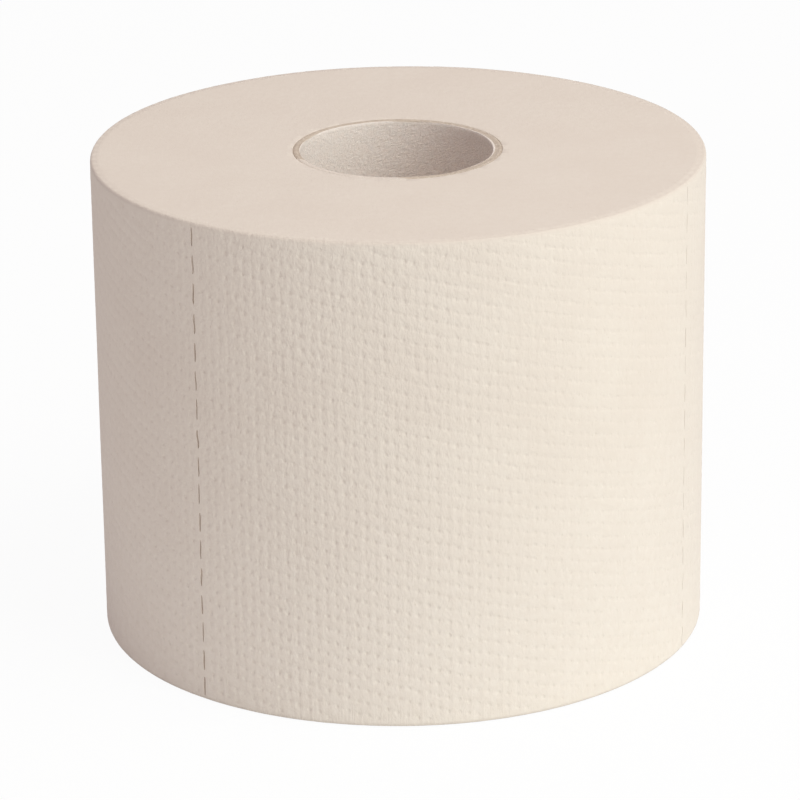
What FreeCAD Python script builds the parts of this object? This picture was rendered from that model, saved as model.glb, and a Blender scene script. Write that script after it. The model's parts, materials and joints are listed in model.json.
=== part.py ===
import FreeCAD, Part
import math
import os
import Sketcher

# Toilet paper roll, standing on one end.
# The origin is the centre of the end that it stands on, and +Z runs along the roll's axis.
# The roll is a cardboard core tube with one long perforated web wound round it.
# The web's turns are one solid: its outer turn is a true spiral that ends in a loose tail
# edge, and a spiral of bands on each end shows how the turns run in towards the core.

# Driving dimensions in millimetres and degrees
SIZES = {
    "roll_height": 96.0,
    "roll_diameter": 120.0,
    "core_diameter": 40.7,
    "core_wall": 1.2,
    # one ply stack of the web, which is also the step at the tail edge
    "web_thickness": 0.36,
    # soft edge between the side and each end
    "rim_bevel": 0.7,
    # distance along the web from one perforation line to the next
    "sheet_length": 111.0,
    # where the tail edge lies, anticlockwise from +X seen from above
    "tail_bearing": 82.5,
    "slit_length": 3.85,
    "slit_pitch": 5.65,
    "slit_width": 0.25,
    # on each end the turns lie in a spiral of low and high bands
    "turn_bands": 5,
    "band_step": 0.2,
    # how far cutting profiles stand out past the surface they cut
    "cut_clearance": 2.0,
}

doc = FreeCAD.newDocument("ToiletPaperRoll")
sheet = doc.addObject("Spreadsheet::Sheet", "Sizes")
for row, (alias, value) in enumerate(SIZES.items(), start=1):
    sheet.set("A%d" % row, alias)
    sheet.set("B%d" % row, str(value))
    sheet.setAlias("B%d" % row, alias)
doc.recompute()

X_AXIS = -1
ORIGIN = (-1, 1)
START = 1
END = 2
CENTRE = 3


def point(x, y):
    return FreeCAD.Vector(x, y, 0)


def origin_feature(body, role):
    for feature in body.Origin.OriginFeatures:
        if feature.Role == role:
            return feature
    raise ValueError("no origin feature " + role)


def new_body(name):
    body = doc.addObject("PartDesign::Body", name)
    body.Label = name
    return body


def new_sketch(body, name, plane):
    sketch = body.newObject("Sketcher::SketchObject", name)
    sketch.AttachmentSupport = [(origin_feature(body, plane), "")]
    sketch.MapMode = "FlatFace"
    return sketch


def bind(sketch, kind, *where, size):
    """Adds a dimension to the sketch and ties it to an expression on the sheet."""
    numbered = sketch.addConstraint(Sketcher.Constraint(kind, *where, value_of(size)))
    sketch.setExpression("Constraints[%d]" % numbered, size)


def value_of(expression):
    """The number that an expression on the sheet stands for now."""
    result = sheet.evalExpression(expression)
    return getattr(result, "Value", result)


def joined(sketch, first, second):
    sketch.addConstraint(Sketcher.Constraint("Coincident", *first, *second))


def on_x_axis(sketch, where):
    sketch.addConstraint(Sketcher.Constraint("PointOnObject", *where, X_AXIS))


def circle(sketch, diameter):
    drawn = sketch.addGeometry(Part.Circle(point(0, 0), FreeCAD.Vector(0, 0, 1), value_of(diameter) / 2))
    joined(sketch, (drawn, CENTRE), ORIGIN)
    bind(sketch, "Diameter", drawn, size=diameter)


def spiral(sketch, start_radius, pitch, half_turns):
    """Draws a two-centre spiral of half circles that opens by pitch in each turn.

    It starts on the +X axis at start_radius and runs anticlockwise.
    """
    quarter_pitch = value_of(pitch) / 4
    arcs = []
    for step in range(half_turns):
        upper = step % 2 == 0
        centre = point(-quarter_pitch if upper else quarter_pitch, 0)
        radius = value_of(start_radius) + quarter_pitch * (1 + 2 * step)
        whole = Part.Circle(centre, FreeCAD.Vector(0, 0, 1), radius)
        begin = 0 if upper else math.pi
        arc = sketch.addGeometry(Part.ArcOfCircle(whole, begin, begin + math.pi))
        if step < 2:
            on_x_axis(sketch, (arc, CENTRE))
            ends = (arc, CENTRE, *ORIGIN) if upper else (*ORIGIN, arc, CENTRE)
            bind(sketch, "DistanceX", *ends, size="(%s) / 4" % pitch)
        else:
            joined(sketch, (arc, CENTRE), (arcs[step - 2], CENTRE))
        if step == 0:
            on_x_axis(sketch, (arc, START))
            bind(sketch, "DistanceX", *ORIGIN, arc, START, size=start_radius)
        else:
            joined(sketch, (arc, START), (arcs[step - 1], END))
        on_x_axis(sketch, (arc, END))
        arcs.append(arc)
    return arcs


def bridge(sketch, first, second):
    """Draws a straight line between two points that are already drawn."""
    line = Part.LineSegment(sketch.getPoint(*first), sketch.getPoint(*second))
    drawn = sketch.addGeometry(line)
    joined(sketch, (drawn, START), first)
    joined(sketch, (drawn, END), second)


def cut_from(body, feature, before):
    """Checks that a cutting feature has taken material away."""
    doc.recompute()
    if not feature.Shape.Volume < before - 1e-6:
        raise RuntimeError(feature.Name + " cuts nothing in " + body.Label)
    return feature.Shape.Volume


HEIGHT = "Sizes.roll_height"
OUTER_RADIUS = "Sizes.roll_diameter / 2"
CORE_RADIUS = "Sizes.core_diameter / 2"

# Cardboard core: a plain tube as long as the roll is high
core = new_body("cardboard_core")
core_section = new_sketch(core, "CoreSection", "XY_Plane")
circle(core_section, "Sizes.core_diameter")
circle(core_section, "Sizes.core_diameter - 2 * Sizes.core_wall")
core_tube = core.newObject("PartDesign::Pad", "CoreTube")
core_tube.Profile = core_section
core_tube.SideType = "Symmetric"
core_tube.setExpression("Length", HEIGHT)

# Wound tissue: the outer turn opens by one web thickness and steps down at the tail edge.
# It is two half turns, each about an axis of its own, and each with a soft bevelled rim.
tissue = new_body("wound_tissue")


def half_section(sketch, radius):
    """Draws half of the roll's lengthwise section, with the corners bevelled."""
    flat = "%s - Sizes.rim_bevel" % radius
    wide = value_of(radius)
    high = value_of(HEIGHT) / 2
    bevel = value_of("Sizes.rim_bevel")
    corners = [
        point(0, -high),
        point(wide - bevel, -high),
        point(wide, -high + bevel),
        point(wide, high - bevel),
        point(wide - bevel, high),
        point(0, high),
    ]
    sides = [
        sketch.addGeometry(Part.LineSegment(first, second))
        for first, second in zip(corners, corners[1:] + corners[:1])
    ]
    for first, second in zip(sides, sides[1:] + sides[:1]):
        joined(sketch, (first, END), (second, START))
    bottom, lower_bevel, outside, upper_bevel, top, axis = sides
    for level in (bottom, top):
        sketch.addConstraint(Sketcher.Constraint("Horizontal", level))
    for upright in (outside, axis):
        sketch.addConstraint(Sketcher.Constraint("Vertical", upright))
    sketch.addConstraint(Sketcher.Constraint("Symmetric", axis, START, axis, END, *ORIGIN))
    bind(sketch, "DistanceY", axis, END, axis, START, size=HEIGHT)
    bind(sketch, "DistanceX", *ORIGIN, outside, END, size=radius)
    bind(sketch, "DistanceX", bottom, START, bottom, END, size=flat)
    bind(sketch, "DistanceX", top, END, top, START, size=flat)
    bind(sketch, "DistanceY", lower_bevel, START, lower_bevel, END, size="Sizes.rim_bevel")
    bind(sketch, "DistanceY", upper_bevel, START, upper_bevel, END, size="Sizes.rim_bevel")


def half_turn(name, shift, inset, turned_back):
    """Turns the section half way round an axis that is shifted along X."""
    sketch = new_sketch(tissue, name + "Section", "XZ_Plane")
    sketch.setExpression("AttachmentOffset.Base.x", "%s * Sizes.web_thickness" % shift)
    half_section(sketch, "%s - %s * Sizes.web_thickness" % (OUTER_RADIUS, inset))
    half = tissue.newObject("PartDesign::Revolution", name)
    half.Profile = sketch
    half.ReferenceAxis = (sketch, ["V_Axis"])
    half.Angle = 180
    half.Reversed = turned_back
    doc.recompute()
    return half


half_turn("UpperHalfTurn", shift=-0.25, inset=0.75, turned_back=False)
outer_turn = half_turn("LowerHalfTurn", shift=0.25, inset=0.25, turned_back=True)
volume = outer_turn.Shape.Volume

# The core's place: a hole from end to end, exactly as wide as the core
core_place_section = new_sketch(tissue, "CorePlaceSection", "XY_Plane")
circle(core_place_section, "Sizes.core_diameter")
core_place = tissue.newObject("PartDesign::Pocket", "CorePlace")
core_place.Profile = core_place_section
core_place.SideType = "Symmetric"
core_place.setExpression("Length", HEIGHT + " + 2 * Sizes.cut_clearance")
volume = cut_from(tissue, core_place, volume)

# Turn bands: the web's turns lie in bands, every other one a hair lower, in one spiral
BAND_ROOM = "(%s - Sizes.web_thickness - Sizes.rim_bevel - %s)" % (OUTER_RADIUS, CORE_RADIUS)
BAND_PITCH = BAND_ROOM + " / (Sizes.turn_bands + 1)"
BAND_START = "%s + %s / 4" % (CORE_RADIUS, BAND_PITCH)
band_section = new_sketch(tissue, "TurnBandSection", "XY_Plane")
band_section.setExpression("AttachmentOffset.Base.z", HEIGHT + " / 2")
half_turns = 2 * round(value_of("Sizes.turn_bands"))
inner_wall = spiral(band_section, BAND_START, BAND_PITCH, half_turns)
outer_wall = spiral(band_section, "%s + %s / 2" % (BAND_START, BAND_PITCH), BAND_PITCH, half_turns)
bridge(band_section, (inner_wall[0], START), (outer_wall[0], START))
bridge(band_section, (inner_wall[-1], END), (outer_wall[-1], END))
turn_band = tissue.newObject("PartDesign::Pocket", "TurnBand")
turn_band.Profile = band_section
turn_band.setExpression("Length", "Sizes.band_step")
volume = cut_from(tissue, turn_band, volume)

# The other end is the same, because both ends are edges of one web
both_ends = tissue.newObject("PartDesign::Mirrored", "BothEnds")
both_ends.Originals = [turn_band]
both_ends.MirrorPlane = (origin_feature(tissue, "XY_Plane"), [""])
tissue.Tip = both_ends
volume = cut_from(tissue, both_ends, volume)

# Perforations: rows of slits through the outer turn, one sheet apart from the tail edge on
SHEET_ANGLE = "Sizes.sheet_length / (pi * Sizes.roll_diameter) * 360"
SLIT_COUNT = "floor((%s - Sizes.slit_length) / Sizes.slit_pitch) + 1" % HEIGHT
slit_section = new_sketch(tissue, "SlitSection", "XY_Plane")
slit_section.setExpression(
    "AttachmentOffset.Base.z",
    "-(%s - 1) * Sizes.slit_pitch / 2" % SLIT_COUNT,
)


def slit(sketch, number):
    """Draws one slit in plan, a thin box that reaches one web thickness into the roll."""
    turned = "%d * %s" % (number, SHEET_ANGLE)
    floor_radius = "%s - Sizes.web_thickness * (1 + %s / 360)" % (OUTER_RADIUS, turned)
    reach = "Sizes.web_thickness + Sizes.cut_clearance"
    out = math.radians(-value_of(turned))
    radial = point(math.cos(out), math.sin(out))
    across = point(-math.sin(out), math.cos(out)) * (value_of("Sizes.slit_width") / 2)
    floor_middle = radial * value_of(floor_radius)
    mouth_middle = floor_middle + radial * value_of(reach)
    guide = sketch.addGeometry(Part.LineSegment(point(0, 0), floor_middle), True)
    joined(sketch, (guide, START), ORIGIN)
    corner_points = [
        floor_middle - across,
        floor_middle + across,
        mouth_middle + across,
        mouth_middle - across,
    ]
    sides = [
        sketch.addGeometry(Part.LineSegment(corner_points[side], corner_points[(side + 1) % 4]))
        for side in range(4)
    ]
    for side in range(4):
        joined(sketch, (sides[side], END), (sides[(side + 1) % 4], START))
    floor, rising, mouth, falling = sides
    sketch.addConstraint(Sketcher.Constraint("Symmetric", floor, START, floor, END, guide, END))
    sketch.addConstraint(Sketcher.Constraint("Perpendicular", guide, floor))
    sketch.addConstraint(Sketcher.Constraint("Perpendicular", floor, rising))
    sketch.addConstraint(Sketcher.Constraint("Perpendicular", rising, mouth))
    sketch.addConstraint(Sketcher.Constraint("Perpendicular", mouth, falling))
    bind(sketch, "Distance", guide, size=floor_radius)
    bind(sketch, "Distance", floor, size="Sizes.slit_width")
    bind(sketch, "Distance", rising, size=reach)
    bind(sketch, "Angle", X_AXIS, START, guide, START, size="-(%s)" % turned)


for line_number in range(1, int(360 / value_of(SHEET_ANGLE)) + 1):
    slit(slit_section, line_number)
slits = tissue.newObject("PartDesign::Pocket", "Slits")
slits.Profile = slit_section
slits.SideType = "Symmetric"
slits.setExpression("Length", "Sizes.slit_length")
volume = cut_from(tissue, slits, volume)
perforations = tissue.newObject("PartDesign::LinearPattern", "Perforations")
perforations.Originals = [slits]
perforations.Direction = (origin_feature(tissue, "Z_Axis"), [""])
perforations.Mode = "Spacing"
perforations.setExpression("Offset", "Sizes.slit_pitch")
perforations.setExpression("Occurrences", SLIT_COUNT)
tissue.Tip = perforations
volume = cut_from(tissue, perforations, volume)

# Both pieces stand on the origin, and the roll is turned so that its tail edge is at the back
for piece in (core, tissue):
    piece.setExpression("Placement.Base.z", HEIGHT + " / 2")
tissue.Placement.Rotation = FreeCAD.Rotation(FreeCAD.Vector(0, 0, 1), 0)
tissue.setExpression("Placement.Rotation.Angle", "Sizes.tail_bearing")
doc.recompute()

for item in doc.Objects:
    if "Invalid" in item.State or "Error" in item.State:
        raise RuntimeError(item.Label + " did not build")
for piece in (core, tissue):
    if piece.Shape.isNull() or not piece.Shape.isValid() or len(piece.Shape.Solids) != 1:
        raise RuntimeError(piece.Label + " is not one valid solid")

os.makedirs("parts", exist_ok=True)
for piece in (core, tissue):
    piece.Shape.exportStep("parts/%s.step" % piece.Label)
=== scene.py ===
import json
import math

import bmesh
import bpy
import numpy as np
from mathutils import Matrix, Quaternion, Vector
from mathutils.geometry import delaunay_2d_cdt


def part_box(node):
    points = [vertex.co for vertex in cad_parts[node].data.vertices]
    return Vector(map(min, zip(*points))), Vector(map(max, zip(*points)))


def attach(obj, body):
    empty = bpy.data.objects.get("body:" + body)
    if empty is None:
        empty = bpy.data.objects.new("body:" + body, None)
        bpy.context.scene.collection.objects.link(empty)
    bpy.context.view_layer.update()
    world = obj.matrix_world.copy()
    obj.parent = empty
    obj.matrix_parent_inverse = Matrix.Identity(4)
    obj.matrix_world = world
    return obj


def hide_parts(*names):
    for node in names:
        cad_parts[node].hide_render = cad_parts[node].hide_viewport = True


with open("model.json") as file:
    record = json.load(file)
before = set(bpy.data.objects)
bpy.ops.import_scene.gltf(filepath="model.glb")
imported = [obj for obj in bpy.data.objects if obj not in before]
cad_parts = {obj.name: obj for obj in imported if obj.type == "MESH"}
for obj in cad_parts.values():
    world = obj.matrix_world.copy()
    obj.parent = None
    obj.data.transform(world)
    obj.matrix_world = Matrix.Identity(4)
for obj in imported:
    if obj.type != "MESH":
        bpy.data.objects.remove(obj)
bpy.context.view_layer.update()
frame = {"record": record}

# Lengths are in metres. The roll and its core take their sizes from the frame.
MM = 0.001
ROLL_LOW, ROLL_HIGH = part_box("wound_tissue")
CORE_LOW, CORE_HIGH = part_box("cardboard_core")
CORE_MOUNT = next(m for m in frame["record"]["mounts"] if m["name"] == "core_bore")
HEIGHT = ROLL_HIGH.z - ROLL_LOW.z
CORE_RADIUS = (CORE_HIGH.x - CORE_LOW.x) / 2
BORE_RADIUS = CORE_MOUNT["dims"]["r_mm"] * MM
FULL_TURN = 2 * math.pi
QUARTER_TURN = math.pi / 2
SEED = 7
# Rounding room for joining and comparing points, and the distance within which two are one
TOLERANCE = 1e-7
WELD = 1e-3 * MM

# The web: its outer turn winds down by one thickness from the tail edge round to the step
WEB = 0.36 * MM
WEB_INSET = 0.03 * MM
OUTER_RADIUS = (ROLL_HIGH.x - ROLL_LOW.x + ROLL_HIGH.y - ROLL_LOW.y) / 4 + WEB / 2 - WEB_INSET
TAIL_BEARING = math.radians(82.5)
GIRTH = FULL_TURN * OUTER_RADIUS
SHEET_LENGTH = 111 * MM
# The rim is between the side and each end, and the eye is where an end turns down to the core
RIM_RADIUS = 0.8 * MM
EYE_RADIUS = 0.18 * MM
# Places up the unrolled web, measured from the middle of the side
SIDE_TOP = HEIGHT / 2 - RIM_RADIUS
RIM_END = SIDE_TOP + RIM_RADIUS * QUARTER_TURN
FLAT_LENGTH = OUTER_RADIUS - RIM_RADIUS - CORE_RADIUS - EYE_RADIUS
FLAT_END = RIM_END + FLAT_LENGTH
EYE_END = FLAT_END + EYE_RADIUS * QUARTER_TURN

# Rows of points round the rims, ends and eyes, by bend in degrees, and how many points in each
RIM_BENDS = (22, 45, 68)
RIM_POINTS = 240
END_ROWS = 30
END_POINTS = 120
EYE_BENDS = (45, 90)
EYE_POINTS = 96
SEAM_POINTS = 96

# Embossed dots: columns round the roll, each one a little lower than the one before
DOT_COLUMN_SPACE = 1.92 * MM
DOT_COLUMNS = round(GIRTH / DOT_COLUMN_SPACE)
DOT_COLUMN_PITCH = GIRTH / DOT_COLUMNS
DOT_ROW_PITCH = 2.57 * MM
DOT_COLUMN_DROP = 0.52 * MM
DOT_HALF_WIDTH = 0.52 * MM
DOT_HALF_HEIGHT = 0.64 * MM
DOT_LEAN = math.radians(12)
DOT_DEPTH = 0.088 * MM
PILLOW_RISE = 0.02 * MM
# No dot's middle lies further from the middle of the side than this
DOT_REACH = SIDE_TOP - DOT_HALF_HEIGHT * 1.2
# Each ring of a dot: its corners, its share of the dot's size and its share of the depth
DOT_RINGS = ((3, 0.42, 1.0), (6, 1.0, 0.0))
# Chance in a dot's place, size and lean
DOT_STRAY = 0.12 * MM
DOT_SIZES = (0.85, 1.1)
DOT_LEAN_SPREAD = 0.2
# From the first to the second of these levels, which are shares of the height measured from
# the middle, the dots grow shallower and less even
DOT_LEVELS = (-0.5, 0.2)
DOT_EASE = (1.0, 0.8)
DOT_CHANCE = (0.28, 0.54)

# The relief's strength round the side, over the cosine of the bearing: it fades from left to
# right, as the photograph shows, and is softer near the left outline. Each gives where a
# ramp begins and ends, and the strength at both.
RELIEF_LEFT = 1.4
RELIEF_FADE = (-0.45, 0.97, RELIEF_LEFT, 0.52)
RELIEF_EDGE = (-0.95, -0.6, 0.5, 1.0)
# At the back it is even, which sets in over the sine of the bearing
RELIEF_BEHIND = (0.1, 0.6)
RELIEF_BACK = 1.45

# Perforation slits
SLIT_PITCH = 5.65 * MM
SLIT_LENGTH = 4.1 * MM
SLIT_WIDTH = 0.52 * MM
SLIT_CORNERS = 12
# How blunt a slit's ends are, and the size of its floor against its mouth
SLIT_BLUNTNESS = 0.6
SLIT_FLOOR = 0.72
# The slits are narrower where the relief is weaker, by this power of its strength
SLIT_FADE = 0.85
# Chance in a slit's place, width, length, lean and curl
SLIT_STRAY = 0.15 * MM
SLIT_SWAY = 0.03 * MM
SLIT_WIDTHS = (0.7, 1.15)
SLIT_LENGTHS = (0.90, 1.04)
SLIT_LEAN_SPREAD = 0.02
SLIT_CURL = 0.05 * MM

# The torn tail edge: tufts at the ties, a waver, and how far in from the edge and the rims
# both die out
TUFT = 0.35 * MM
TUFT_SLOPE = 0.5 * MM
TAIL_WAVER = 0.06 * MM
TAIL_WAVES = (3.1 * MM, 0.9 * MM)
TAIL_PHASE = 1.3
TAIL_REACH = 1.2 * MM
TAIL_RIM_EASE = 1.0 * MM

# Soft unevenness: how many waves each kind has, its shortest and longest wave, and its height
SLOW_WAVES = (10, 18 * MM, 60 * MM)
QUICK_WAVES = (24, 1.5 * MM, 4 * MM)
CRUMPLE_WAVES = (24, 2.2 * MM, 7 * MM)
SLOW_RISE = 0.035 * MM
QUICK_RISE = 0.008 * MM
RIM_CRUMPLE = 0.05 * MM
RIM_CRUMPLE_REACH = 9 * MM
END_CRUMPLE = 0.012 * MM
# The web dips towards a perforation line
LINE_DIP = 0.05 * MM
LINE_DIP_REACH = 0.7 * MM

# The core tube: two plies, the inner one loose at the upper mouth, and more so at the right
CORE_ROOM = 0.03 * MM
INNER_PLY = 0.30 * MM
CORE_COLUMNS = 180
CORE_WAVES = (16, 4 * MM, 30 * MM)
CORE_SWAY = 0.12 * MM
# The cut edges, past this share of the height from the middle, are a little uneven
CUT_LEVEL = 0.45
CUT_SINK = 0.02 * MM
LIP_REACH = 0.7 * MM
LIP_SWELL = 0.14 * MM
LIP_SWELL_RIGHT = 0.48 * MM

# Tissue colours, among them painted bounce light and painted shade, how much of each shows, and the
# grain sizes of the noises
TISSUE_DARK = (0.835, 0.755, 0.668, 1)
TISSUE_PALE = (0.855, 0.780, 0.692, 1)
# Painted bounce light: the side's paler tone towards the foot, where light from the floor falls
PAINTED_BOUNCE_TONE = (0.90, 0.835, 0.755, 1)
MOTTLE_TONE = (0.80, 0.715, 0.622, 1)
FLECK_TONE = (0.55, 0.44, 0.35, 1)
# Painted shade in the pits
PIT_SHADE_TONE = (0.76, 0.67, 0.585, 1)
# Painted shade on the slits' floors, deep in the narrow cut
CUT_SHADE_TONE = (0.40, 0.30, 0.23, 1)
# Painted shade over the rim's bend, which dulls the light it catches
RIM_SHADE_TONE = (0.785, 0.705, 0.622, 1)
PAINTED_BOUNCE_SHARE = 0.66
MOTTLE_SHARE = 0.35
FLECK_SHARE = 0.35
PIT_SHADE_SHARE = 0.03
CUT_SHADE_SHARE = 0.34
RIM_SHADE_SHARE = 0.8
CLOUD_SIZE = 16 * MM
DRIFT_SIZE = 8 * MM
MOTTLE_SIZE = 1.6 * MM
CREPE_SIZE = 0.8 * MM
RING_SIZE = 0.7 * MM
FLECK_SIZE = 0.55 * MM
FIBRE_SIZE = 0.4 * MM
# The part of a noise's or wave's values that a ramp runs over
NOISE_MIDDLE = (0.3, 0.7)
MOTTLE_RANGE = (0.25, 0.75)
FLECK_RANGE = (0.77, 0.84)
DRIFT_RANGE = (0.4, 0.6)
GRAIN_RANGE = (0.48, 0.66)
CREASE_RANGE = (0.5, 1)
# Where the side gives way to the ends, and where the painted shade over the rim begins and ends
SIDE_EDGE = (OUTER_RADIUS - 1.4 * MM, OUTER_RADIUS - 0.6 * MM)
RIM_SHADE_EDGE = (OUTER_RADIUS - 1.1 * MM, OUTER_RADIUS - 0.5 * MM)
RIM_SHADE_DEPTH = (0.95 * MM, 0.35 * MM)

# Heights of the tissue's bump in millimetres; a pair runs from the foot to the head, or from
# the ends to the side
FIBRE_RISE = (0.04, 0.05)
CREPE_RISE = (0.125, 0.16)
MOTTLE_RISE = 0.08
RING_RISE = 0.03
RIDGE_RISE = (0.005, 0.003)
PIT_SINK = (0.046, 0.030)
CREASE_SINK = (0.006, 0.021)
# How far a crease strays, in shares of the distance between two rows
ROW_DRIFT = 0.5

# Board colours: the liner is the paler paper inside, and fluff is tissue over the cut edge
LINER_DARK = (0.98, 0.893, 0.82, 1)
LINER_PALE = (0.985, 0.918, 0.855, 1)
BOARD_DARK = (0.62, 0.52, 0.42, 1)
BOARD_PALE = (0.72, 0.62, 0.51, 1)
FLUFF_TONE = (0.87, 0.79, 0.70, 1)
SPECKLE_TONE = (0.845, 0.75, 0.67, 1)
BLOTCH_SIZE = 1.1 * MM
GRAIN_SIZE = 0.32 * MM
GRAIN_SLANT = math.radians(30)
BLOTCH_RISE = 0.15
GRAIN_RISE = 0.3
# From left to right, over the cosine of the bearing, the board's specks and bump grow stronger
CORE_LEFT_RIGHT = (-0.6, 0.9)
SPECKLE_SHARE = (0.28, 0.6)
CORE_RELIEF = (0.75, 1.15)
# The radius, at the left and the right, and the depth below the end, where the board shows
LINER_SEAM = (BORE_RADIUS - 0.15 * MM, BORE_RADIUS - 0.26 * MM)
LINER_BLUR = 0.1 * MM
BOARD_DEPTH = (0.5 * MM, 0.12 * MM)
# The fluff lies round one bearing: it begins at the core's outside and reaches to its inside
FLUFF_BEARING = math.radians(236)
FLUFF_SPAN = (0.74, 0.86)
FLUFF_REACH = (CORE_RADIUS + 0.1 * MM, BORE_RADIUS - 0.4 * MM)
FLUFF_BLUR = 0.2 * MM

# Floor and lights: azimuth and elevation in degrees, size in metres, power in watts
FLOOR_RADIUS = 4.0
FLOOR_TONE = (0.935, 0.96, 0.965, 1)
FLOOR_WHITE_SHARE = 0.94
LAMP_DISTANCE = 1.2
LAMPS = (
    ("low_box", 45, 18, 0.6, 3.62, (0.87, 1.0, 0.96)),
    ("high_box", 60, 62, 0.7, 6.3, (1.0, 1.0, 0.94)),
)
FILL_TONE = (1.0, 0.885, 0.90, 1)
FILL_STRENGTH = 0.467

# Camera: a long lens a little above the roll, fitted to the photograph's outline
CAMERA_DISTANCE = 0.84
CAMERA_ELEVATION = 20.07
CAMERA_ROLL = -0.68
CAMERA_AIM = Vector((-0.1 * MM, 0, 43.96 * MM))
CAMERA_LENS = 190.6
CAMERA_SENSOR = 36
CAMERA_CLIP = (0.01, 20)


def line_share(value, low, high, start=0.0, end=1.0):
    """Runs straight from start to end while value goes from low to high, and stays there."""
    return start + (end - start) * np.clip((value - low) / (high - low), 0, 1)


def roll_point(along, height, inset):
    """A place on the unrolled web to a point in space, pushed in by inset.

    along runs anticlockwise from the tail edge, and height runs from the middle of the side up
    over the rim and in across the end, so both ends are part of one surface.
    """
    turn = along / OUTER_RADIUS
    bearing = TAIL_BEARING + turn
    step = WEB * (1 - turn / FULL_TURN)
    half = HEIGHT / 2
    over = np.abs(height) - SIDE_TOP
    bend = np.clip(over / RIM_RADIUS, 0, QUARTER_TURN)
    inward = np.maximum(over - RIM_RADIUS * QUARTER_TURN, 0)
    eye_bend = np.clip((inward - FLAT_LENGTH) / EYE_RADIUS, 0, QUARTER_TURN)
    flat = np.minimum(inward, FLAT_LENGTH)
    side_radius = OUTER_RADIUS - RIM_RADIUS * (1 - np.cos(bend)) - (step + inset) * np.cos(bend)
    radius = side_radius - flat - EYE_RADIUS * np.sin(eye_bend)
    lift = half - RIM_RADIUS * (1 - np.sin(bend)) - EYE_RADIUS * (1 - np.cos(eye_bend))
    lift = lift - inset * np.sin(bend)
    upright = np.where(over > 0, lift, np.abs(height)) * np.sign(height)
    return np.stack([radius * np.cos(bearing), radius * np.sin(bearing), upright + half], axis=1)


class Web:
    """Gathers the points of the unrolled web before they are joined into triangles."""

    def __init__(self):
        self.places = []
        self.insets = []
        self.dots = []
        self.cuts = []
        self.edges = []

    def add(self, along, height, inset=0.0, dot=0.0, cut=0.0):
        """Adds a point and gives its number."""
        self.places.append((along, height))
        self.insets.append(inset)
        self.dots.append(dot)
        self.cuts.append(cut)
        return len(self.places) - 1

    def chain(self, numbers, closed=False):
        """Joins points by edges that the triangles have to keep."""
        self.edges += list(zip(numbers, numbers[1:]))
        if closed:
            self.edges.append((numbers[-1], numbers[0]))


def perforation_lines():
    """Distances along the web, from the tail edge on, of the lines in the outer turn."""
    count = int(GIRTH / SHEET_LENGTH)
    return [GIRTH - number * SHEET_LENGTH for number in range(1, count + 1)]


def relief_share(bearing):
    """How strong the relief is at a bearing: even at the back, fading to the right in front."""
    across, behind = math.cos(bearing), math.sin(bearing)
    low, high, left, right = RELIEF_FADE
    share = line_share(across, low, high)
    smooth = share * share * (3 - 2 * share)
    front = (left + (right - left) * smooth) * line_share(across, *RELIEF_EDGE)
    return front + (RELIEF_BACK - front) * line_share(behind, *RELIEF_BEHIND)


def add_dot(web, centre, size, lean, depth):
    """One leaning oval pit with a flat bottom."""
    for corners, scale, sunk in DOT_RINGS:
        for corner in range(corners):
            angle = corner * FULL_TURN / corners
            across = size * scale * DOT_HALF_WIDTH * math.cos(angle)
            up = size * scale * DOT_HALF_HEIGHT * math.sin(angle)
            along = centre[0] + across * math.cos(lean) - up * math.sin(lean)
            height = centre[1] + across * math.sin(lean) + up * math.cos(lean)
            web.add(along, height, depth * sunk, dot=sunk)


def add_dots(web, rng):
    """Pits in a slanted lattice, uneven in depth and place as soft paper is.

    The paper between four pits stands a little proud of their edges.
    """
    lines = perforation_lines()
    rows = int(HEIGHT / DOT_ROW_PITCH) + 2
    for column in range(DOT_COLUMNS):
        along = (column + 0.5) * DOT_COLUMN_PITCH
        strength = relief_share(TAIL_BEARING + along / OUTER_RADIUS)
        slip = (column * DOT_COLUMN_DROP) % DOT_ROW_PITCH
        near_line = min(abs(along - line) for line in lines)
        for row in range(-rows // 2, rows // 2 + 1):
            height = row * DOT_ROW_PITCH - slip
            shift = rng.normal(0, DOT_STRAY, 2)
            size = rng.uniform(*DOT_SIZES)
            lean = DOT_LEAN + rng.normal(0, DOT_LEAN_SPREAD)
            ease = line_share(height / HEIGHT, *DOT_LEVELS, *DOT_EASE)
            chance = rng.uniform(-1, 1) * line_share(height / HEIGHT, *DOT_LEVELS, *DOT_CHANCE)
            depth = DOT_DEPTH * strength * (ease + chance)
            pillow = (along + DOT_COLUMN_PITCH / 2, height + (DOT_ROW_PITCH - DOT_COLUMN_DROP) / 2)
            if abs(pillow[1]) < DOT_REACH and near_line > DOT_COLUMN_PITCH:
                web.add(*pillow, -PILLOW_RISE)
            if abs(height) <= DOT_REACH and near_line >= DOT_HALF_WIDTH + SLIT_WIDTH:
                add_dot(web, (along + shift[0], height + shift[1]), size, lean, depth)


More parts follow.
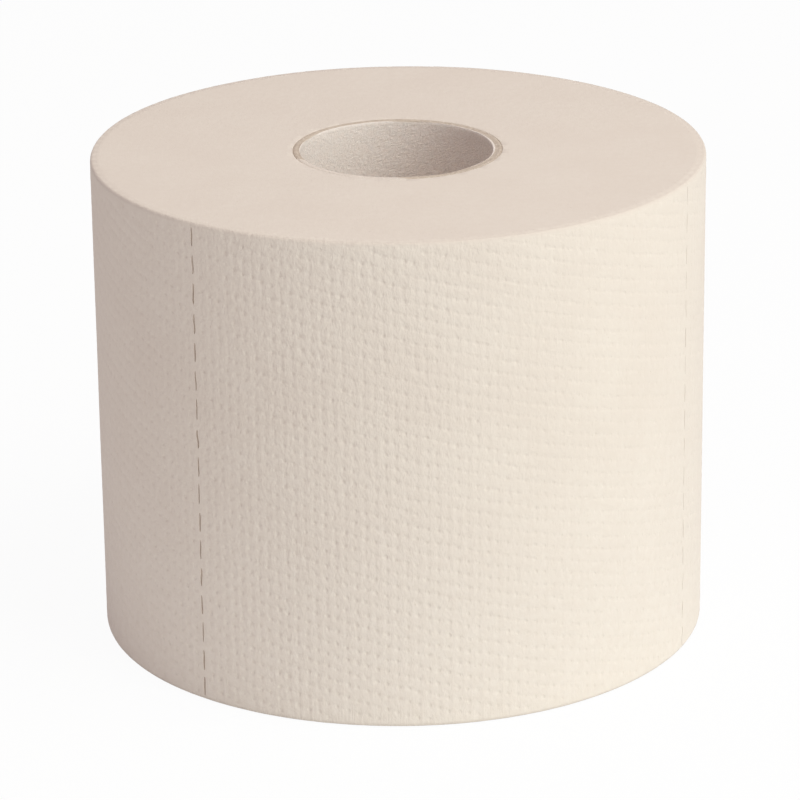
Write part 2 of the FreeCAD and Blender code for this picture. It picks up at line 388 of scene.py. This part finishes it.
def add_slits(web, rng):
    """Lens-shaped cuts through the outer turn, in rows across the web."""
    count = int((HEIGHT - SLIT_LENGTH) / SLIT_PITCH) + 1
    for line in perforation_lines():
        strength = relief_share(TAIL_BEARING + line / OUTER_RADIUS) / RELIEF_LEFT
        for number in range(count):
            middle = (number - (count - 1) / 2) * SLIT_PITCH
            if 0 < number < count - 1:
                middle += rng.normal(0, SLIT_STRAY)
            sway = rng.normal(0, SLIT_SWAY)
            wide = SLIT_WIDTH / 2 * strength ** SLIT_FADE * rng.uniform(*SLIT_WIDTHS)
            long = min(SLIT_LENGTH / 2 * rng.uniform(*SLIT_LENGTHS), SIDE_TOP - abs(middle))
            lean = rng.normal(0, SLIT_LEAN_SPREAD)
            curl = rng.normal(0, SLIT_CURL)
            for scale, inset in ((1.0, 0.0), (SLIT_FLOOR, WEB)):
                loop = []
                for corner in range(SLIT_CORNERS):
                    angle = (corner + 0.5) * FULL_TURN / SLIT_CORNERS
                    blunt = abs(math.cos(angle)) ** SLIT_BLUNTNESS
                    across = math.copysign(wide * scale * blunt, math.cos(angle))
                    up = (long - wide * (1 - scale)) * math.sin(angle)
                    across += lean * up + curl * math.sin(math.pi * up / long)
                    place = (line + sway + across, middle + up)
                    # cut is 1 on a slit's floor, which the material paints with shade
                    loop.append(web.add(*place, inset, cut=inset / WEB))
                web.chain(loop, closed=True)


def rim_heights():
    """Places up the web of the rows of points round a rim, above the side's end."""
    return [SIDE_TOP + RIM_RADIUS * math.radians(bend) for bend in RIM_BENDS]


def eye_heights():
    """Places up the web of the rows of points round an eye."""
    return [FLAT_END + EYE_RADIUS * math.radians(bend) for bend in EYE_BENDS]


def add_rows(web):
    """Even rows of points over the rims and across both ends."""
    rows = [(height, RIM_POINTS) for height in [SIDE_TOP] + rim_heights()]
    rows += [(height, END_POINTS) for height in np.linspace(RIM_END, FLAT_END, END_ROWS)]
    rows += [(height, EYE_POINTS) for height in eye_heights()]
    for height, count in rows:
        for sign in (-1, 1):
            for number in range(1, count):
                web.add(GIRTH * number / count, sign * height)


def seam_heights():
    """Heights of the points along both borders of the web, from the bottom eye to the top one."""
    side = list(np.linspace(0, SIDE_TOP, SEAM_POINTS))
    flat = list(np.linspace(RIM_END, FLAT_END, END_ROWS))
    above = side + rim_heights() + flat + eye_heights()
    return [-height for height in reversed(above[1:])] + above


def tail_shift(height):
    """How far the torn tail edge strays from a straight line: a tuft at each tie."""
    tie = np.abs(((height / SLIT_PITCH + 0.5) % 1.0) - 0.5) * SLIT_PITCH
    tuft = np.clip((tie - SLIT_LENGTH / 2) / TUFT_SLOPE, 0, 1)
    long_wave, short_wave = TAIL_WAVES
    waver = TAIL_WAVER * np.sin(height / long_wave + TAIL_PHASE) * np.sin(height / short_wave)
    on_side = np.clip((SIDE_TOP - np.abs(height)) / TAIL_RIM_EASE, 0, 1)
    return (TUFT * tuft + waver) * on_side


def waves(rng, count, shortest, longest):
    """Gentle waves over the surface: their directions and how quick they are, and phases."""
    lengths = rng.uniform(shortest, longest, count)
    directions = rng.normal(0, 1, (count, 3))
    directions /= np.linalg.norm(directions, axis=1)[:, None]
    return directions * (FULL_TURN / lengths)[:, None], rng.uniform(0, FULL_TURN, count)


def wave_height(points, field):
    """Sum of the waves at each point, about -1 to 1."""
    directions, phases = field
    return np.sin(points @ directions.T + phases).sum(axis=1) / math.sqrt(2 * len(phases))


def web_insets(places, insets, rng):
    """Adds the soft unevenness of wound paper to the relief of dots and slits."""
    along, height = places[:, 0], places[:, 1]
    flat = roll_point(along, height, np.zeros(len(along)))
    on_side = np.abs(height) <= SIDE_TOP
    near_rim = np.clip(1 - (SIDE_TOP - np.abs(height)) / RIM_CRUMPLE_REACH, 0, 1)
    slow = wave_height(flat, waves(rng, *SLOW_WAVES))
    quick = wave_height(flat, waves(rng, *QUICK_WAVES))
    crumple = wave_height(flat, waves(rng, *CRUMPLE_WAVES))
    relief = insets + PILLOW_RISE + SLOW_RISE * (1 + slow) + QUICK_RISE * quick
    relief += np.where(on_side, RIM_CRUMPLE * near_rim * crumple, END_CRUMPLE * crumple)
    for line in perforation_lines():
        dip = LINE_DIP * np.exp(-(((along - line) / LINE_DIP_REACH) ** 2))
        relief += np.where(on_side, dip, 0)
    return np.maximum(relief, 0)


def joined_web(web):
    """Joins the web's points into triangles.

    Gives the points' places, their inset, dot and cut, the triangles, and the new number of
    each old point.
    """
    flat = [Vector((along / MM, height / MM)) for along, height in web.places]
    joined = delaunay_2d_cdt(flat, web.edges, [], 0, TOLERANCE)
    found, _, triangles, sources = joined[:4]
    places = np.array([(point.x * MM, point.y * MM) for point in found])
    values = [
        np.array([given[source[0]] if source else 0.0 for source in sources])
        for given in (web.insets, web.dots, web.cuts)
    ]
    place_of = {old: new for new, source in enumerate(sources) for old in source}
    return places, *values, triangles, place_of


def closing_faces(places, start, end):
    """Faces that close the web at the step of its outer turn and along the core."""
    along, height = places[:, 0], places[:, 1]
    faces = []
    for row in range(len(start) - 1):
        faces.append((end[row], start[row], start[row + 1], end[row + 1]))
    bottom = sorted(np.flatnonzero(height < -EYE_END + TOLERANCE), key=lambda number: along[number])
    top = sorted(np.flatnonzero(height > EYE_END - TOLERANCE), key=lambda number: along[number])
    for column in range(len(bottom) - 1):
        faces.append((top[column], top[column + 1], bottom[column + 1], bottom[column]))
    return faces


def linked_object(name, data):
    """An object in the scene for a mesh, a light or a camera."""
    made = bpy.data.objects.new(name, data)
    bpy.context.scene.collection.objects.link(made)
    return made


def smooth_shading(mesh, sharp_angle):
    """Smooth shading, with edges that bend by more than an angle in degrees kept sharp."""
    mesh.shade_smooth()
    mesh.set_sharp_from_angle(angle=math.radians(sharp_angle))


def build_tissue():
    """The wound web as one closed mesh: side, rims, ends, and the wall round the core."""
    rng = np.random.default_rng(SEED)
    web = Web()
    heights = seam_heights()
    start_border = [web.add(0.0, height) for height in heights]
    end_border = [web.add(GIRTH, height) for height in heights]
    web.chain(start_border)
    web.chain(end_border)
    add_rows(web)
    add_dots(web, rng)
    add_slits(web, rng)

    places, insets, dots, cuts, triangles, place_of = joined_web(web)
    relief = web_insets(places, insets, rng)
    along, height = places[:, 0], places[:, 1]
    pull = np.clip(1 - np.minimum(along, GIRTH - along) / TAIL_REACH, 0, 1)
    points = roll_point(along + pull * tail_shift(height), height, relief)
    start = [place_of[number] for number in start_border]
    end = [place_of[number] for number in end_border]
    faces = list(triangles) + closing_faces(places, start, end)

    mesh = bpy.data.meshes.new("tissue_roll")
    mesh.from_pydata(points.tolist(), [], [tuple(int(n) for n in face) for face in faces])
    # The dot attribute gives the pits their bump and painted shade; the cut attribute gives the
    # slits' floors painted shade
    for name, values in (("dot", dots), ("cut", cuts)):
        attribute = mesh.attributes.new(name, "FLOAT", "POINT")
        attribute.data.foreach_set("value", values.astype(np.float32))
    shape = bmesh.new()
    shape.from_mesh(mesh)
    bmesh.ops.remove_doubles(shape, verts=shape.verts, dist=WELD)
    bmesh.ops.dissolve_degenerate(shape, edges=shape.edges, dist=WELD)
    bmesh.ops.recalc_face_normals(shape, faces=shape.faces)
    shape.to_mesh(mesh)
    shape.free()
    smooth_shading(mesh, 50)
    return linked_object("tissue_roll", mesh)


def core_section():
    """The tube's section, in order round its wall, as radii and shares of the height."""
    outer = CORE_RADIUS - CORE_ROOM
    ply = BORE_RADIUS + INNER_PLY
    # The cut edge from inside to outside, with depths below the end in millimetres
    cut_edge = (
        (BORE_RADIUS, 2.4),
        (BORE_RADIUS, 0.6),
        (BORE_RADIUS + 0.02 * MM, 0.12),
        (BORE_RADIUS + 0.1 * MM, 0.02),
        (ply - 0.08 * MM, 0.02),
        (ply - 0.03 * MM, 0.05),
        (ply + 0.03 * MM, 0.05),
        (ply + 0.12 * MM, 0.01),
        (outer - 0.14 * MM, 0.03),
        (outer, 0.16),
    )
    upper = [(BORE_RADIUS, 0.9)] + [(radius, 1 - drop * MM / HEIGHT) for radius, drop in cut_edge]
    lower = [(radius, 1 - level) for radius, level in reversed(upper)]
    return [(BORE_RADIUS, 0.5)] + upper + [(outer, 0.5)] + lower


def core_point(radius, level, bearing, field):
    """A point of the tube, with the unevenness of cut board and the loose inner ply."""
    across, behind = math.cos(bearing), math.sin(bearing)
    uneven = wave_height(np.array([[radius * across, radius * behind, level * HEIGHT]]), field)[0]
    height = level * HEIGHT
    if radius < BORE_RADIUS + INNER_PLY:
        radius += CORE_SWAY * uneven
        if level > 1 - LIP_REACH / HEIGHT:
            radius -= LIP_SWELL + LIP_SWELL_RIGHT * max(across, 0) ** 2
    if abs(level - 0.5) > CUT_LEVEL:
        height -= math.copysign(CUT_SINK * max(1 + uneven, 0), level - 0.5)
    return radius * across, radius * behind, height


def build_core():
    """The core tube: a turned section with soft edges and a groove between its two plies."""
    rng = np.random.default_rng(SEED + 1)
    field = waves(rng, *CORE_WAVES)
    section = core_section()
    shape = bmesh.new()
    rings = []
    for column in range(CORE_COLUMNS):
        bearing = FULL_TURN * column / CORE_COLUMNS
        rings.append([shape.verts.new(core_point(*place, bearing, field)) for place in section])
    for ring, following in zip(rings, rings[1:] + rings[:1]):
        for place in range(len(section)):
            onward = (place + 1) % len(section)
            shape.faces.new((ring[place], following[place], following[onward], ring[onward]))
    bmesh.ops.recalc_face_normals(shape, faces=shape.faces)
    mesh = bpy.data.meshes.new("core_tube")
    shape.to_mesh(mesh)
    shape.free()
    smooth_shading(mesh, 60)
    return linked_object("core_tube", mesh)


class Nodes:
    """A short way to write a material's nodes."""

    def __init__(self, name):
        self.material = bpy.data.materials.new(name)
        self.material.use_nodes = True
        self.tree = self.material.node_tree
        self.tree.nodes.clear()
        self.output = self.tree.nodes.new("ShaderNodeOutputMaterial")

    def feed(self, socket, value):
        """Links a socket to another one, or sets its number or colour."""
        if isinstance(value, bpy.types.NodeSocket):
            self.tree.links.new(value, socket)
        else:
            socket.default_value = value

    def math(self, operation, *values):
        node = self.tree.nodes.new("ShaderNodeMath")
        node.operation = operation
        for socket, value in zip(node.inputs, values):
            self.feed(socket, value)
        return node.outputs[0]

    def plus(self, first, second):
        return self.math("ADD", first, second)

    def minus(self, first, second):
        return self.math("SUBTRACT", first, second)

    def times(self, first, second):
        return self.math("MULTIPLY", first, second)

    def over(self, first, second):
        return self.math("DIVIDE", first, second)

    def noise(self, vector, size, detail=2.0, roughness=0.5):
        node = self.tree.nodes.new("ShaderNodeTexNoise")
        self.feed(node.inputs["Vector"], vector)
        node.inputs["Scale"].default_value = 1 / size
        node.inputs["Detail"].default_value = detail
        node.inputs["Roughness"].default_value = roughness
        return node.outputs["Fac"]

    def stretched(self, vector, scale, turn=(0, 0, 0)):
        node = self.tree.nodes.new("ShaderNodeMapping")
        self.feed(node.inputs["Vector"], vector)
        node.inputs["Scale"].default_value = scale
        node.inputs["Rotation"].default_value = turn
        return node.outputs[0]

    def ramp(self, value, low, high, start=0.0, end=1.0):
        """Runs smoothly from start to end while value goes from low to high."""
        node = self.tree.nodes.new("ShaderNodeMapRange")
        node.interpolation_type = "SMOOTHSTEP"
        ends = {"From Min": low, "From Max": high, "To Min": start, "To Max": end}
        for name, number in ends.items():
            self.feed(node.inputs[name], number)
        self.feed(node.inputs["Value"], value)
        return node.outputs[0]

    def mix(self, fraction, first, second):
        node = self.tree.nodes.new("ShaderNodeMix")
        node.data_type = "RGBA"
        self.feed(node.inputs[0], fraction)
        self.feed(node.inputs[6], first)
        self.feed(node.inputs[7], second)
        return node.outputs[2]

    def bump(self, height):
        """A bump for a height in millimetres."""
        node = self.tree.nodes.new("ShaderNodeBump")
        node.inputs["Strength"].default_value = 1.0
        node.inputs["Distance"].default_value = 1 * MM
        self.feed(node.inputs["Height"], height)
        return node.outputs[0]

    def attribute(self, name):
        node = self.tree.nodes.new("ShaderNodeAttribute")
        node.attribute_name = name
        return node.outputs["Fac"]

    def shader(self, color, normal, sheen):
        """A matt surface, joined to the output."""
        node = self.tree.nodes.new("ShaderNodeBsdfPrincipled")
        self.feed(node.inputs["Base Color"], color)
        self.feed(node.inputs["Normal"], normal)
        node.inputs["Roughness"].default_value = 0.95
        node.inputs["Specular IOR Level"].default_value = 0.15
        node.inputs["Sheen Weight"].default_value = sheen
        node.inputs["Sheen Roughness"].default_value = 0.6
        self.tree.links.new(node.outputs[0], self.output.inputs[0])


class RollNodes(Nodes):
    """Nodes of a material that varies with the place on the roll."""

    def __init__(self, name):
        super().__init__(name)
        self.place = self.tree.nodes.new("ShaderNodeTexCoord").outputs["Object"]
        parts = self.tree.nodes.new("ShaderNodeSeparateXYZ")
        self.feed(parts.inputs[0], self.place)
        self.x, self.y, self.z = parts.outputs
        squares = self.plus(self.times(self.x, self.x), self.times(self.y, self.y))
        self.radius = self.math("SQRT", squares)
        # The cosine and the sine of the bearing
        self.across = self.over(self.x, self.radius)
        self.behind = self.over(self.y, self.radius)
        from_middle = self.math("ABSOLUTE", self.minus(self.z, HEIGHT / 2))
        self.end_gap = self.minus(HEIGHT / 2, from_middle)

    def up(self, low, high, start, end):
        """A ramp up the roll, between two shares of its height."""
        return self.ramp(self.z, low * HEIGHT, high * HEIGHT, start, end)


def tissue_tone(nodes, side, mottle, dot):
    """The tissue's colour: slow clouds, mottling, flecks, painted bounce light at the foot, and
    painted shade in the pits, the cuts and over the rim.
    """
    cloud = nodes.noise(nodes.place, CLOUD_SIZE, detail=3)
    tone = nodes.mix(nodes.ramp(cloud, *NOISE_MIDDLE), TISSUE_DARK, TISSUE_PALE)
    # Painted bounce light: the side grows paler towards the foot
    tone = nodes.mix(nodes.times(nodes.up(0, 0.7, PAINTED_BOUNCE_SHARE, 0), side), tone, PAINTED_BOUNCE_TONE)
    tone = nodes.mix(nodes.ramp(mottle, *MOTTLE_RANGE, 0, MOTTLE_SHARE), tone, MOTTLE_TONE)
    fleck = nodes.noise(nodes.place, FLECK_SIZE, detail=1)
    tone = nodes.mix(nodes.ramp(fleck, *FLECK_RANGE, 0, FLECK_SHARE), tone, FLECK_TONE)
    # Painted shade in the pits
    tone = nodes.mix(nodes.ramp(dot, 0, 1, 0, PIT_SHADE_SHARE), tone, PIT_SHADE_TONE)
    # Painted shade on the slits' floors
    cut = nodes.ramp(nodes.attribute("cut"), 0.2, 1, 0, CUT_SHADE_SHARE)
    tone = nodes.mix(cut, tone, CUT_SHADE_TONE)
    # Painted shade over the rim
    near_end = nodes.ramp(nodes.end_gap, *RIM_SHADE_DEPTH, 0, RIM_SHADE_SHARE)
    outside = nodes.ramp(nodes.radius, *RIM_SHADE_EDGE)
    return nodes.mix(nodes.times(near_end, outside), tone, RIM_SHADE_TONE)


def end_rings(nodes):
    """Noise in rings round the axis, as the edges of the turns show on the ends."""
    node = nodes.tree.nodes.new("ShaderNodeCombineXYZ")
    nodes.feed(node.inputs[0], nodes.radius)
    return nodes.noise(node.outputs[0], RING_SIZE, detail=3)


def lattice(nodes):
    """Faint ridges between the columns of dots, and creases along their rows."""
    turn = nodes.minus(nodes.math("ARCTAN2", nodes.y, nodes.x), TAIL_BEARING)
    column = nodes.times(nodes.math("FRACT", nodes.over(turn, FULL_TURN)), DOT_COLUMNS)
    ridge = nodes.math("COSINE", nodes.times(column, FULL_TURN))
    row = nodes.plus(nodes.z, nodes.times(nodes.minus(column, 0.5), DOT_COLUMN_DROP))
    row = nodes.over(nodes.minus(row, HEIGHT / 2), DOT_ROW_PITCH)
    drift = nodes.noise(nodes.stretched(nodes.place, (1, 1, 2)), DRIFT_SIZE)
    row = nodes.plus(row, nodes.times(nodes.minus(drift, 0.5), ROW_DRIFT))
    crease = nodes.ramp(nodes.math("COSINE", nodes.times(row, FULL_TURN)), *CREASE_RANGE)
    return ridge, nodes.times(crease, nodes.ramp(drift, *DRIFT_RANGE, 0.15, 1))


def relief_strength(nodes):
    """The same strength as relief_share gives the mesh, but for smoother ends of its ramps."""
    fade = nodes.ramp(nodes.across, *RELIEF_FADE)
    fade = nodes.times(fade, nodes.ramp(nodes.across, *RELIEF_EDGE))
    back = nodes.ramp(nodes.behind, *RELIEF_BEHIND)
    return nodes.plus(nodes.times(fade, nodes.minus(1, back)), nodes.times(back, RELIEF_BACK))


def tissue_relief(nodes, side, mottle, dot):
    """The tissue's bump in millimetres: fibres, crepe, rings on the ends, ridges and pits."""
    fibre = nodes.noise(
        nodes.stretched(nodes.place, (1, 1, 0.4)), FIBRE_SIZE, detail=3, roughness=0.65
    )
    crepe = nodes.noise(nodes.stretched(nodes.place, (1, 1, 0.6)), CREPE_SIZE, roughness=0.6)
    crepe = nodes.times(crepe, side)
    ridge, crease = lattice(nodes)
    ridge = nodes.times(ridge, nodes.up(0.2, 1, *RIDGE_RISE))
    ridge = nodes.times(ridge, nodes.ramp(crepe, *NOISE_MIDDLE, 0.3, 1.3))
    ring = nodes.times(end_rings(nodes), nodes.minus(1, side))
    pit = nodes.times(nodes.ramp(dot, 0, 1), nodes.up(0.1, 0.8, *PIT_SINK))

    height = nodes.times(fibre, nodes.ramp(side, 0, 1, *FIBRE_RISE))
    height = nodes.plus(height, nodes.times(crepe, nodes.up(0.1, 0.8, *CREPE_RISE)))
    height = nodes.plus(height, nodes.times(mottle, MOTTLE_RISE))
    height = nodes.plus(height, nodes.times(ring, RING_RISE))
    height = nodes.plus(height, nodes.times(ridge, side))
    height = nodes.times(nodes.minus(height, pit), relief_strength(nodes))
    crease = nodes.times(crease, nodes.up(0.3, 1, *CREASE_SINK))
    return nodes.minus(height, nodes.times(crease, side))


def tissue_material():
    """Soft unbleached tissue: fibres, faint crepe lines, tiny flecks and pressed dots, with painted
    bounce light and painted shade in its colour.
    """
    nodes = RollNodes("tissue")
    side = nodes.ramp(nodes.radius, *SIDE_EDGE)
    mottle = nodes.noise(nodes.place, MOTTLE_SIZE, detail=3, roughness=0.6)
    dot = nodes.attribute("dot")
    tone = tissue_tone(nodes, side, mottle, dot)
    height = tissue_relief(nodes, side, mottle, dot)
    nodes.shader(tone, nodes.bump(height), sheen=0.12)
    return nodes.material


def liner_edge(nodes):
    """0 on the inner paper and 1 on the board, which shows at the cut edges only."""
    seam = nodes.ramp(nodes.across, *CORE_LEFT_RIGHT, *LINER_SEAM)
    outside = nodes.ramp(nodes.minus(nodes.radius, seam), 0, LINER_BLUR)
    return nodes.times(outside, nodes.ramp(nodes.end_gap, *BOARD_DEPTH))


def fluff_cover(nodes):
    """Where soft tissue lies over the board's edge, round one bearing at the front left."""
    aim = nodes.plus(
        nodes.times(nodes.x, math.cos(FLUFF_BEARING)),
        nodes.times(nodes.y, math.sin(FLUFF_BEARING)),
    )
    facing = nodes.over(aim, nodes.radius)
    edge = nodes.ramp(facing, *FLUFF_SPAN, *FLUFF_REACH)
    return nodes.ramp(nodes.minus(nodes.radius, edge), 0, FLUFF_BLUR)


def core_material():
    """Grey-tan board with a paler inner ply, fibrous and mottled."""
    nodes = RollNodes("core_board")
    blotch = nodes.noise(nodes.place, BLOTCH_SIZE, detail=3, roughness=0.65)
    turned = nodes.stretched(nodes.place, (1, 1, 1), (0, GRAIN_SLANT, 0))
    grain = nodes.noise(nodes.stretched(turned, (0.4, 1, 1)), GRAIN_SIZE, detail=3, roughness=0.65)

    patch = nodes.ramp(blotch, *NOISE_MIDDLE)
    board = nodes.mix(patch, BOARD_DARK, BOARD_PALE)
    board = nodes.mix(fluff_cover(nodes), board, FLUFF_TONE)
    tone = nodes.mix(liner_edge(nodes), nodes.mix(patch, LINER_DARK, LINER_PALE), board)
    speckle = nodes.ramp(nodes.across, *CORE_LEFT_RIGHT, *SPECKLE_SHARE)
    speckle = nodes.times(nodes.ramp(grain, *GRAIN_RANGE), speckle)
    tone = nodes.mix(speckle, tone, SPECKLE_TONE)

    height = nodes.plus(nodes.times(blotch, BLOTCH_RISE), nodes.times(grain, GRAIN_RISE))
    height = nodes.times(height, nodes.ramp(nodes.across, *CORE_LEFT_RIGHT, *CORE_RELIEF))
    nodes.shader(tone, nodes.bump(height), sheen=0.05)
    return nodes.material


def build_floor():
    """A pale floor that shows near white in the picture and keeps a soft shadow."""
    shape = bmesh.new()
    bmesh.ops.create_circle(shape, cap_ends=True, segments=96, radius=FLOOR_RADIUS)
    mesh = bpy.data.meshes.new("floor")
    shape.to_mesh(mesh)
    shape.free()
    nodes = Nodes("floor")
    path = nodes.tree.nodes.new("ShaderNodeLightPath")
    seen = nodes.math("MAXIMUM", path.outputs["Is Camera Ray"], path.outputs["Is Glossy Ray"])
    paint = nodes.tree.nodes.new("ShaderNodeBsdfDiffuse")
    paint.inputs["Color"].default_value = FLOOR_TONE
    white = nodes.tree.nodes.new("ShaderNodeEmission")
    blend = nodes.tree.nodes.new("ShaderNodeMixShader")
    nodes.feed(blend.inputs[0], nodes.times(seen, FLOOR_WHITE_SHARE))
    nodes.feed(blend.inputs[1], paint.outputs[0])
    nodes.feed(blend.inputs[2], white.outputs[0])
    nodes.feed(nodes.output.inputs[0], blend.outputs[0])
    mesh.materials.append(nodes.material)
    linked_object("floor", mesh)


def toward(azimuth, elevation):
    """Unit vector from the roll; azimuth 0 is the camera's side and 90 is +X."""
    a, e = math.radians(azimuth), math.radians(elevation)
    return Vector((math.sin(a) * math.cos(e), -math.cos(a) * math.cos(e), math.sin(e)))


def add_lamp(name, azimuth, elevation, size, power, color):
    """A square soft box that faces the middle of the roll."""
    light = bpy.data.lights.new(name, "AREA")
    light.size = size
    light.energy = power
    light.color = color
    lamp = linked_object(name, light)
    back = toward(azimuth, elevation)
    lamp.location = Vector((0, 0, HEIGHT / 2)) + back * LAMP_DISTANCE
    lamp.rotation_mode = "QUATERNION"
    lamp.rotation_quaternion = back.to_track_quat("Z", "Y")


def build_light():
    """The lamps, and a world that fills the shadows and is white where the camera sees it."""
    for lamp in LAMPS:
        add_lamp(*lamp)
    world = bpy.data.worlds.new("studio")
    bpy.context.scene.world = world
    world.use_nodes = True
    tree = world.node_tree
    tree.nodes.clear()
    output = tree.nodes.new("ShaderNodeOutputWorld")
    path = tree.nodes.new("ShaderNodeLightPath")
    fill = tree.nodes.new("ShaderNodeBackground")
    fill.inputs["Color"].default_value = FILL_TONE
    fill.inputs["Strength"].default_value = FILL_STRENGTH
    white = tree.nodes.new("ShaderNodeBackground")
    white.inputs["Color"].default_value = (1, 1, 1, 1)
    blend = tree.nodes.new("ShaderNodeMixShader")
    tree.links.new(path.outputs["Is Camera Ray"], blend.inputs[0])
    tree.links.new(fill.outputs[0], blend.inputs[1])
    tree.links.new(white.outputs[0], blend.inputs[2])
    tree.links.new(blend.outputs[0], output.inputs[0])


def build_camera():
    """The camera that the scene is rendered with."""
    data = bpy.data.cameras.new("camera")
    data.lens = CAMERA_LENS
    data.sensor_width = CAMERA_SENSOR
    data.clip_start, data.clip_end = CAMERA_CLIP
    camera = linked_object("camera", data)
    back = toward(0, CAMERA_ELEVATION)
    camera.location = CAMERA_AIM + back * CAMERA_DISTANCE
    camera.rotation_mode = "QUATERNION"
    level = back.to_track_quat("Z", "Y")
    camera.rotation_quaternion = level @ Quaternion((0, 0, 1), math.radians(CAMERA_ROLL))
    bpy.context.scene.camera = camera


roll = build_tissue()
roll.data.materials.append(tissue_material())
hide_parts("wound_tissue")
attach(roll, "root")

core = build_core()
core.data.materials.append(core_material())
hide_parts("cardboard_core")
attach(core, "root")

build_floor()
build_light()
build_camera()
bpy.context.scene.view_settings.view_transform = "Standard"
